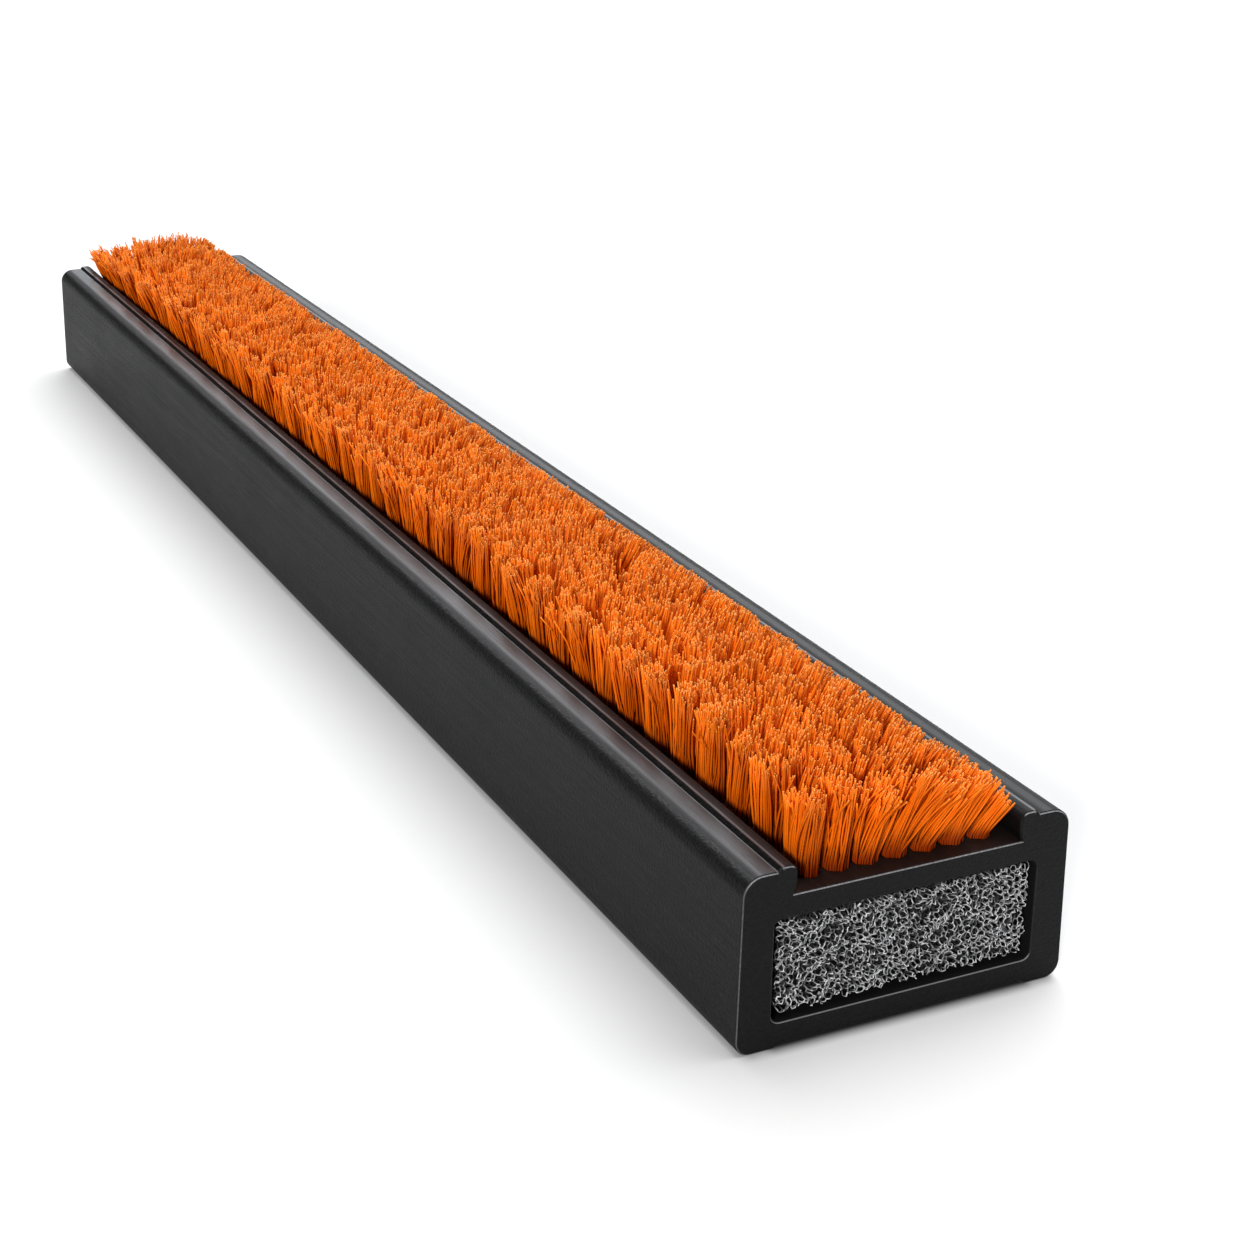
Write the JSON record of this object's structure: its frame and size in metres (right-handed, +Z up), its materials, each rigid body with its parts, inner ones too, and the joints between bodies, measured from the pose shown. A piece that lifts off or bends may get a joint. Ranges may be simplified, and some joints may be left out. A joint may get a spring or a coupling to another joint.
{
  "type": "brush seal strip",
  "caption": "Straight strip of black extruded section with a foam core in its box cavity and orange bristle tufts standing in a lipped channel on top.",
  "frame": {"origin": "middle of the strip, on the surface that its two feet rest on", "axes": "+X along the strip, +Y across it, +Z up along the bristles"},
  "size_m": [0.3, 0.0416, 0.028],
  "materials": {
    "carrier_plastic": "satin black extruded plastic",
    "core_foam": "grey open-cell foam",
    "bristle": "orange nylon filament"
  },
  "bodies": {
    "root": {"carrier": "carrier_plastic", "foam_core": "core_foam", "tuft_row_01": "bristle", "tuft_row_02": "bristle", "tuft_row_03": "bristle", "tuft_row_04": "bristle", "tuft_row_05": "bristle", "tuft_row_06": "bristle", "tuft_row_07": "bristle", "tuft_row_08": "bristle", "tuft_row_09": "bristle", "tuft_row_10": "bristle", "tuft_row_11": "bristle", "tuft_row_12": "bristle", "tuft_row_13": "bristle", "tuft_row_14": "bristle", "tuft_row_15": "bristle", "tuft_row_16": "bristle", "tuft_row_17": "bristle", "tuft_row_18": "bristle", "tuft_row_19": "bristle", "tuft_row_20": "bristle", "tuft_row_21": "bristle", "tuft_row_22": "bristle", "tuft_row_23": "bristle", "tuft_row_24": "bristle", "tuft_row_25": "bristle", "tuft_row_26": "bristle", "tuft_row_27": "bristle", "tuft_row_28": "bristle", "tuft_row_29": "bristle", "tuft_row_30": "bristle", "tuft_row_31": "bristle", "tuft_row_32": "bristle", "tuft_row_33": "bristle", "tuft_row_34": "bristle", "tuft_row_35": "bristle", "tuft_row_36": "bristle", "tuft_row_37": "bristle", "tuft_row_38": "bristle", "tuft_row_39": "bristle", "tuft_row_40": "bristle", "tuft_row_41": "bristle", "tuft_row_42": "bristle", "tuft_row_43": "bristle", "tuft_row_44": "bristle", "tuft_row_45": "bristle"}
  },
  "joints": []
}
